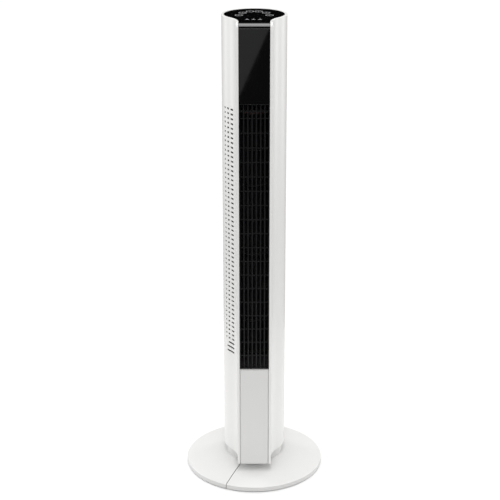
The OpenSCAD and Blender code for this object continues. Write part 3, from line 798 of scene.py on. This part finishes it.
base = {
    "rim": 160.0,
    "rimTop": 12.5,
    "foot": 1.5,
    "collarR": 64.5,
    "rise": 15.5,
    "wall": 3.0,
    "inner": 24.0,
    "seam": 1.8,
    "turned": 24.0,
    "topRings": (40, 56, 62, 70, 80, 92, 104, 116, 128, 138, 147, 154, 157.2),
    "edge": [(158.4, 12.78), (159.2, 12.3), (159.75, 11.6), (160, 10.7), (160, 6.2),
             (160, 2.7), (159.7, 2.0), (159.1, 1.6), (158.2, 1.5)],
    "underRings": (157, 150, 138, 120, 100, 80, 60, 40),
    "glandHole": 3.5,
    "glandZ": 6.1,
}
domeR = (base["rim"] ** 2 - base["collarR"] ** 2) / (2 * base["rise"])
domeZ = base["rimTop"] - math.sqrt(domeR**2 - base["rim"] ** 2)


def domeHeight(r, sink=0.0):
    return domeZ + math.sqrt((domeR - sink) ** 2 - r**2)


def makeBaseRing():
    outer = [(r, 0, domeHeight(r)) for r in (base["inner"], *base["topRings"])]
    rim = [(r, 0, z) for r, z in base["edge"]]
    rim.append((base["underRings"][0], 0, base["foot"]))
    inner = [(r, 0, domeHeight(r, base["wall"])) for r in (*base["underRings"], base["inner"])]
    drawLoop(outer + rim + inner)
    bpy.ops.mesh.delete(type="ONLY_FACE")
    bpy.ops.mesh.select_all(action="SELECT")
    turn((0, 0, 0), 360, 144)
    closeSurface()
    placeOrigin()


def makeBaseHalf(side, node, name):
    makeBaseRing()
    a, rim = math.radians(90 - base["turned"]), base["rim"] * mm
    shell = bpy.context.object
    clearSelection()
    bpy.ops.mesh.primitive_cylinder_add(
        vertices=40, radius=base["glandHole"] * mm, depth=14 * mm,
        location=(rim * math.cos(a), rim * math.sin(a), base["glandZ"] * mm),
        rotation=(0, math.pi / 2, a),
    )
    cutter = bpy.context.object
    pickPiece(shell)
    carve(cutter)
    t = math.radians(-base["turned"])
    normal = (side * -math.cos(t), side * -math.sin(t), 0)
    shift = side * base["seam"] / 2 * mm
    editAll()
    bpy.ops.mesh.bisect(
        plane_co=(shift * math.cos(t), shift * math.sin(t), 0),
        plane_no=normal, use_fill=True, clear_outer=True,
    )
    bpy.ops.mesh.select_all(action="SELECT")
    bpy.ops.mesh.normals_make_consistent(inside=False)
    bpy.ops.object.mode_set(mode="OBJECT")
    soften(0.25, 2, 60)
    return finishPiece(name, finishes["whiteBase"], "base", [node])


makeBaseHalf(-1, "base_left", "baseLeft")
makeBaseHalf(1, "base_right", "baseRight")


def makeCollar():
    r, top = base["collarR"], lowHigh("collar")[1][2]
    foot = domeHeight(r) - 0.02
    drawLoop([
        (r, 0, foot), (r, 0, top - 8), (r, 0, top - 1.6), (r - 0.25, 0, top - 0.7),
        (r - 0.8, 0, top - 0.15), (r - 1.6, 0, top), (r - 12, 0, top), (r - 12, 0, top - 3),
        (r - 3, 0, top - 3), (r - 3, 0, domeHeight(r - 3) + 0.02),
    ])
    bpy.ops.mesh.delete(type="ONLY_FACE")
    bpy.ops.mesh.select_all(action="SELECT")
    turn((0, 0, 0), 360, 96)
    closeSurface()
    return finishPiece("collarRing", finishes["whiteCollar"], "base", ["collar"])


makeCollar()
print("base done")


rail = {
    "inner": 33.2,
    "wide": 5.3,
    "back": -90.57,
    "bend": -95.2,
    "bendZ": 1063.6,
    "ledge": (31.5, 34.1),
    "ledgeDepth": 2.0,
    "ledgeZ": (57.75, 904.6),
}


def makeRails():
    low, high = lowHigh("nose_rails")
    back, front, bend = rail["back"], -column["noseFront"], rail["bend"]
    rails = []
    for side in (-1, 1):
        inner = side * rail["inner"]
        startPoint((inner, back, low[2]))
        here = lineTo((inner, back, low[2]), (inner, front + 1.2, low[2]))
        here = lineTo(here, (inner, front + 0.35, low[2] + 0.35))
        here = lineTo(here, (inner, front, low[2] + 1.2))
        here = lineTo(here, (inner, front, rail["bendZ"]))
        turn((inner, bend - 0.1, rail["bendZ"]), -90, 12, axis=(1, 0, 0))
        here = (inner, bend - 0.1, high[2])
        here = lineTo(here, (inner, back, high[2]))
        closeSurface()
        bpy.ops.mesh.edge_face_add()
        pull((side * rail["wide"], 0, 0))
        closeSurface()
        placeOrigin()
        soften(0.7, 3, 50)
        rails.append(bpy.context.object)
        left, right = sorted(side * x for x in rail["ledge"])
        rails.append(roundedBlock(
            (left, back - rail["ledgeDepth"], rail["ledgeZ"][0]), (right, back, rail["ledgeZ"][1]), 0.3, 1))
    joinPieces(rails)
    return finishPiece("noseBorders", finishes["whiteShell"], "column", ["nose_rails"])


makeRails()

grille = {"half": 33.0, "edge": 2.4, "bars": 6, "barWidth": 3.2, "cells": 19,
          "crossDeep": 3.0, "crossHalf": 0.9}


def makeGrille():
    low, high = lowHigh("grille")
    half, edge = grille["half"], grille["edge"]
    clearSelection()
    middle = [(a + b) / 2 * mm for a, b in zip(low, high)]
    bpy.ops.mesh.primitive_cube_add(
        size=1, location=middle, scale=[(b - a) * mm for a, b in zip(low, high)])
    bpy.ops.object.transform_apply(location=True, rotation=True, scale=True)
    pickFaces(lambda centre, normal: abs(normal.y) > 0.9)
    bpy.ops.mesh.inset(thickness=edge * mm, use_individual=True)
    bpy.ops.mesh.delete(type="FACE")
    pickEdges(
        lambda a, b: abs(a.x) < half - 1 and abs(b.x) < half - 1
        and low[2] + 1 < a.z < high[2] - 1 and low[2] + 1 < b.z < high[2] - 1
        and abs(a.y - b.y) < 0.1
    )
    bpy.ops.mesh.bridge_edge_loops()
    closeSurface()
    bpy.ops.object.mode_set(mode="OBJECT")
    soften(0.6, 2, 50)
    parts = [bpy.context.object]
    step = 2 * (half - edge / 2) / (grille["bars"] + 1)
    for i in range(grille["bars"]):
        x = edge / 2 - half + (i + 1) * step
        if i == 0:
            firstBar = roundedBlock(
                (x - grille["barWidth"] / 2, low[1], low[2] + 1),
                (x + grille["barWidth"] / 2, high[1], high[2] - 1), 0.9, 3)
        parts.append(slideCopy(firstBar, (i * step, 0, 0)) if i else firstBar)
    cell = (high[2] - low[2]) / grille["cells"]
    for j in range(1, grille["cells"]):
        z = low[2] + j * cell
        if j == 1:
            firstCross = roundedBlock(
                (1 - half, high[1] - grille["crossDeep"], z - grille["crossHalf"]),
                (half - 1, high[1], z + grille["crossHalf"]), 0.4, 2)
        parts.append(slideCopy(firstCross, (0, 0, (j - 1) * cell)) if j > 1 else firstCross)
    joinPieces(parts)
    return finishPiece("outletGrille", finishes["blackGrille"], "column", ["grille"])


makeGrille()


cover = {"half": 33.1, "back": -92.77, "crownR": 420.0, "crownHalf": 29.6, "steps": 12}


def makeCover():
    low, high = lowHigh("front_cover")
    half, front, crown = cover["half"], column["noseFront"], cover["crownR"]
    section = [(-half, cover["back"]), (-half, 3.6 - front)]
    section += [(-half + 1.0, 2.45 - front), (-half + 2.4, 1.2 - front)]
    for i in range(cover["steps"] + 1):
        x = -cover["crownHalf"] + i * 2 * cover["crownHalf"] / cover["steps"]
        section.append((x, -front + crown - math.sqrt(crown**2 - x**2)))
    section += [(-x, y) for x, y in reversed(section[:4])]
    drawLoop([(x, y, low[2]) for x, y in section])
    pull((0, 0, high[2] - low[2]))
    closeSurface()
    placeOrigin()
    soften(0.8, 3, 60)
    return finishPiece("lowerCover", finishes["greyWhiteCover"], "column",
                       ["front_cover"], 25)


makeCover()


def makeWindow():
    low, high = lowHigh("display_lens")
    roundedBlock(low, high, 0.45, 3)
    return finishPiece("displayWindow", finishes["blackWindow"], "column", ["display_lens"])


makeWindow()

panel = {"top": 1073.6, "bend": -95.2, "bendZ": 1063.6, "bendR": 10.0, "thick": 3.0}


def makePanel():
    # the round edge of the panel, the flat front edge, then the front rolled over it
    half, z = column["stripHalf"], panel["top"]
    start = (half, panel["bend"], z)
    startPoint(start)
    lineTo(start, (half, -column["hollowY"], z))
    turn((column["hollowX"], -column["hollowY"], 0), -column["blend"], 14)
    turn((0, 0, 0), 180 + 2 * column["blend"], 84)
    turn((-column["hollowX"], -column["hollowY"], 0), -column["blend"], 14)
    lineTo((-half, -column["hollowY"], z), (-half, panel["bend"], z))
    bpy.ops.mesh.select_all(action="SELECT")
    bpy.ops.mesh.remove_doubles(threshold=0.01 * mm)
    bpy.ops.mesh.edge_face_add()
    pickEdges(lambda a, b: abs(a.y - panel["bend"]) < 0.05 and abs(b.y - panel["bend"]) < 0.05)
    turn((0, panel["bend"], panel["bendZ"]), 90, 14, axis=(1, 0, 0))
    pull((0, 0, -1.2))
    closeSurface()
    placeOrigin()
    mesh = bpy.context.object.data
    big = max(mesh.polygons, key=lambda f: f.area)
    if big.normal.z < 0:
        editAll()
        bpy.ops.mesh.flip_normals()
        bpy.ops.object.mode_set(mode="OBJECT")
    giveWall(panel["thick"])
    soften(0.35, 2, 60)
    return finishPiece("touchPanel", finishes["blackPanel"], "column", ["touch_panel"], 30)


makePanel()

marks = {
    "keys": [(32.5, -15), (25.5, 13), (9.4, 30), (-9.4, 30), (-25.5, 13), (-33, -15)],
    "ring": 8.8,
    "line": 1.5,
    "lights": (-15.0, -1.6, 11.8),
    "lightY": -62.0,
    "longBar": (4.0, -4.4, -2.4),
    "shortBar": (2.2, -1.4, 0.3),
    "lift": 0.12,
}


def flatRing(x, y, outer, inner, z, lift):
    clearSelection()
    bpy.ops.mesh.primitive_circle_add(vertices=40, radius=outer * mm, fill_type="NGON",
                                      location=(x * mm, y * mm, z * mm))
    bpy.ops.object.transform_apply(location=True)
    if inner > 0:
        editAll()
        bpy.ops.mesh.inset(thickness=(outer - inner) * mm)
        bpy.ops.mesh.delete(type="FACE")
    editAll()
    pull((0, 0, lift))
    closeSurface()
    bpy.ops.object.mode_set(mode="OBJECT")
    return bpy.context.object


def makeMarks():
    z, lift = panel["top"] - 0.02, marks["lift"]
    parts = []
    for x, y in marks["keys"]:
        parts.append(flatRing(x, y, marks["ring"], marks["ring"] - marks["line"], z, lift))
        parts.append(roundedBlock((x - 0.6, y - 2.6, z), (x + 0.6, y + 2.6, z + lift), 0.04, 1))
    for x in marks["lights"]:
        parts.append(flatRing(x, marks["lightY"] + 3.4, 1.5, 0, z, lift))
        for wide, near, far in (marks["longBar"], marks["shortBar"]):
            near, far = marks["lightY"] + near, marks["lightY"] + far
            parts.append(roundedBlock((x - wide, near, z), (x + wide, far, z + lift), 0.04, 1))
    joinPieces(parts)
    return finishPiece("panelMarks", finishes["keyMark"], "column")


makeMarks()
print("nose done")


shellScrew = {
    "profile": [(0, -9.8), (1.2, -9.4), (1.5, -8.6), (1.5, 0), (3.2, 0),
                (3.2, 0.45), (2.95, 0.85), (2.3, 1.1), (1.2, 1.2), (0, 1.2)],
    "cross": (3.6, 0.75, 1.0),
    "seat": 69.6,
}


def makeShellScrews():
    # one pan head with a cross slot, standing at the origin
    parts = []
    drawLine([(r, 0, z) for r, z in shellScrew["profile"]])
    turn((0, 0, 0), 360, 32)
    closeSurface()
    bpy.ops.object.mode_set(mode="OBJECT")
    head = bpy.context.object
    slots = []
    for angle in (0, 90):
        clearSelection()
        bpy.ops.mesh.primitive_cube_add(
            size=1, location=(0, 0, 1.0 * mm), rotation=(0, 0, math.radians(angle)),
            scale=[c * mm for c in shellScrew["cross"]])
        slots.append(bpy.context.object)
    for cutter in slots:
        pickPiece(head)
        carve(cutter)
    out = shellScrew["seat"] * mm
    for angle in rearCuts["screwAngles"]:
        for height in rearCuts["screwHeights"]:
            pickPiece(head)
            bpy.ops.object.duplicate()
            copy = bpy.context.object
            a = math.radians(angle)
            copy.rotation_euler = (0, math.pi / 2, a)
            copy.location = (out * math.cos(a), out * math.sin(a), height * mm)
            bpy.ops.object.transform_apply(location=True, rotation=True)
            parts.append(copy)
    bpy.data.objects.remove(head, do_unlink=True)
    joinPieces(parts)
    return finishPiece("shellScrews", finishes["screwSteel"], "column", ["shell_screws"])


makeShellScrews()


foot = {"count": 6, "r": 11.0, "high": 1.5, "ring": 134.0}


def makeFeet():
    parts = []
    ring = foot["ring"] * mm
    for k in range(foot["count"]):
        a = math.radians(360 / foot["count"] * k - base["turned"])
        clearSelection()
        bpy.ops.mesh.primitive_cylinder_add(
            vertices=48, radius=foot["r"] * mm, depth=foot["high"] * mm,
            location=(ring * math.cos(a), ring * math.sin(a), foot["high"] / 2 * mm))
        bpy.ops.object.transform_apply(location=True)
        pickFaces(lambda centre, normal: normal.z < -0.9)
        bpy.ops.mesh.inset(thickness=2 * mm)
        bpy.ops.mesh.inset(thickness=1.2 * mm, depth=-0.5 * mm)
        bpy.ops.object.mode_set(mode="OBJECT")
        soften(0.25, 2, 50)
        parts.append(bpy.context.object)
    joinPieces(parts)
    return finishPiece("rubberFeet", finishes["rubber"], "base", ["base_feet"])


makeFeet()


glandProfile = [
    (2.4, -12), (3.3, -12), (3.3, -6.4), (4.1, -6.4), (4.1, -3.6), (3.3, -3.6), (3.3, 0.4),
    (4.0, 0.4), (4.3, 0.8), (4.3, 1.9), (3.9, 2.4), (2.9, 2.4), (2.4, 1.9),
]


def makeGland():
    a, rim = math.radians(90 - base["turned"]), base["rim"] * mm
    drawLoop([(r, 0, z) for r, z in glandProfile])
    bpy.ops.mesh.delete(type="ONLY_FACE")
    bpy.ops.mesh.select_all(action="SELECT")
    turn((0, 0, 0), 360, 40)
    closeSurface()
    bpy.ops.object.mode_set(mode="OBJECT")
    piece = bpy.context.object
    piece.rotation_euler = (0, math.pi / 2, a)
    piece.location = (rim * math.cos(a), rim * math.sin(a), base["glandZ"] * mm)
    return finishPiece("cordGland", finishes["greyGland"], "base", ["cord_gland"], 30)


makeGland()


fanWheel = {
    "r": 45.0,
    "blades": 28,
    "rings": 7,
    "ringWide": 13.5,
    "ringThick": 2,
    "shaftHole": 4,
    "bladeX": 42.5,
    "bladeY": 5.6,
    "bladeR": 9.2,
    "bladeFrom": 193,
    "bladeArc": 86,
    "thick": 1.2,
}


def makeWheel():
    low, high = lowHigh("wheel")
    r = fanWheel["r"]
    a = math.radians(fanWheel["bladeFrom"])
    x = fanWheel["bladeX"] + fanWheel["bladeR"] * math.cos(a)
    y = fanWheel["bladeY"] + fanWheel["bladeR"] * math.sin(a)
    drawLine([(x, y, low[2] + 1), (x, y, high[2] - 1)])
    turn((fanWheel["bladeX"], fanWheel["bladeY"], 0), fanWheel["bladeArc"], 8)
    placeOrigin()
    applyModifier("SOLIDIFY", thickness=fanWheel["thick"] * mm, offset=0)
    editAll()
    share = 360 / fanWheel["blades"]
    turn((0, 0, 0), 360 - share, fanWheel["blades"] - 1, copies=True)
    bpy.ops.object.mode_set(mode="OBJECT")
    parts = [bpy.context.object]
    gap = (high[2] - low[2]) / fanWheel["rings"]
    for k in range(fanWheel["rings"] + 1):
        if k == 0:
            # the plate at the foot, which takes the shaft
            hole, top = fanWheel["shaftHole"], low[2] + fanWheel["ringThick"]
            under = top - fanWheel["ringThick"]
            drawLoop([(hole, 0, under), (r, 0, under), (r, 0, top), (hole, 0, top)])
        else:
            hole, top = r - fanWheel["ringWide"], low[2] + k * gap
            under = top - fanWheel["ringThick"]
            drawLoop([(hole, 0, under), (r - 0.3, 0, under), (r, 0, top - 1),
                      (r - 0.3, 0, top), (hole, 0, top)])
        bpy.ops.mesh.delete(type="ONLY_FACE")
        bpy.ops.mesh.select_all(action="SELECT")
        turn((0, 0, 0), 360, 48)
        closeSurface()
        bpy.ops.object.mode_set(mode="OBJECT")
        parts.append(bpy.context.object)
    joinPieces(parts)
    return finishPiece("bladedWheel", finishes["wheelPlastic"], "blower", ["wheel"])


makeWheel()
print("wheel done")


# spot, aim, width, height and watts of each softbox
studio = {
    "ambient": 0.66,
    "gloss": 0.004,
    "toTheEye": 1.05,
    "floorR": 0.85,
    "softboxes": {
        "leftSoftbox": ((-2.3, 1.1, 1.2), (0, 0, 0.6), 0.8, 2.4, 25.2),
        "rightSoftbox": ((2.3, 1.2, 1.2), (0, 0, 0.6), 0.8, 2.4, 23.5),
        "topSoftbox": ((0.0, 0.0, 3.4), (0, 0, 0.3), 2.4, 2.4, 18.4),
        "crownStrip": ((0, -0.9, 3.35), (0, -0.1, 1.0736), 0.4, 2.4, 22.9),
        "frontStrip": ((0, -2.2, 2.5), (0, -0.1, 1.0736), 0.4, 1.4, 8.0),
    },
    # a leaning card that only the window mirrors
    "card": {"spot": (-0.114, -3.4, 0.329), "lean": math.atan2(0.4258, 0.9048),
             "wide": 0.25, "tall": 0.5, "power": 0.18},
}


def aimedRotation(spot, aim):
    away = [b - a for a, b in zip(spot, aim)]
    flat = math.hypot(away[0], away[1])
    return math.atan2(flat, -away[2]), 0, math.atan2(-away[0], away[1])


def addLamp(name, kind, spot, rotation, energy, **settings):
    bpy.ops.object.light_add(type=kind, location=spot, rotation=rotation)
    lamp = bpy.context.object
    lamp.name = lamp.data.name = name
    lamp.data.energy = energy
    lamp.visible_camera = False
    for setting, value in settings.items():
        setattr(lamp.data, setting, value)


def buildStudio():
    clearSelection()
    bpy.ops.mesh.primitive_circle_add(vertices=128, radius=studio["floorR"], fill_type="NGON")
    floor = bpy.context.object
    floor.name = floor.data.name = "studioFloor"
    finish, tree, shader, place = startFinish("palePaper")
    skin = placeGroup(tree, mouldedSkin, place, Tone=(0.95, 0.95, 0.95, 1),
                      Drift=(0.94, 0.94, 0.94, 1), Roughness=0.8, Spread=0.03, Grain=60.0)
    wire(
        tree,
        (skin.outputs["Color"], shader.inputs["Base Color"]),
        (skin.outputs["Roughness"], shader.inputs["Roughness"]),
    )
    shader.inputs["Specular IOR Level"].default_value = 0.1
    floor.data.materials.append(finish)

    # white to the eye, soft for the light that it gives, near black in the gloss
    world = bpy.data.worlds.new("paleStudio")
    world.use_nodes = True
    tree = world.node_tree
    path = addNode(tree, "ShaderNodeLightPath")
    soft = addNode(tree, "ShaderNodeMix", data_type="FLOAT",
                   values={2: studio["ambient"], 3: studio["gloss"]})
    seen = addNode(tree, "ShaderNodeMix", data_type="FLOAT", values={3: studio["toTheEye"]})
    wire(
        tree,
        (path.outputs["Is Glossy Ray"], soft.inputs[0]),
        (path.outputs["Is Camera Ray"], seen.inputs[0]),
        (soft.outputs[0], seen.inputs[2]),
        (seen.outputs[0], tree.nodes["Background"].inputs["Strength"]),
    )
    tree.nodes["Background"].inputs["Color"].default_value = (1, 1, 1, 1)
    bpy.context.scene.world = world

    for name, (spot, aim, wide, tall, power) in studio["softboxes"].items():
        addLamp(name, "AREA", spot, aimedRotation(spot, aim), power,
                shape="RECTANGLE", size=wide, size_y=tall)
    card = studio["card"]
    addLamp("windowCard", "AREA", card["spot"], (math.pi / 2, card["lean"], 0), card["power"],
            shape="RECTANGLE", size=card["wide"], size_y=card["tall"])


buildStudio()


productView = {"spot": (0, -2.8975, 1.5969), "down": 20.13, "lens": 97.58, "shift": (-0.0086, 0.0005)}


def placeCamera():
    pitch = math.radians(90 - productView["down"])
    bpy.ops.object.camera_add(location=productView["spot"], rotation=(pitch, 0, 0))
    camera = bpy.context.object
    camera.name = camera.data.name = "productCamera"
    camera.data.sensor_width = 36
    camera.data.lens = productView["lens"]
    camera.data.shift_x, camera.data.shift_y = productView["shift"]
    camera.data.clip_end = 60
    bpy.context.scene.camera = camera
    bpy.context.scene.view_settings.view_transform = "Standard"


placeCamera()
print("scene ready")
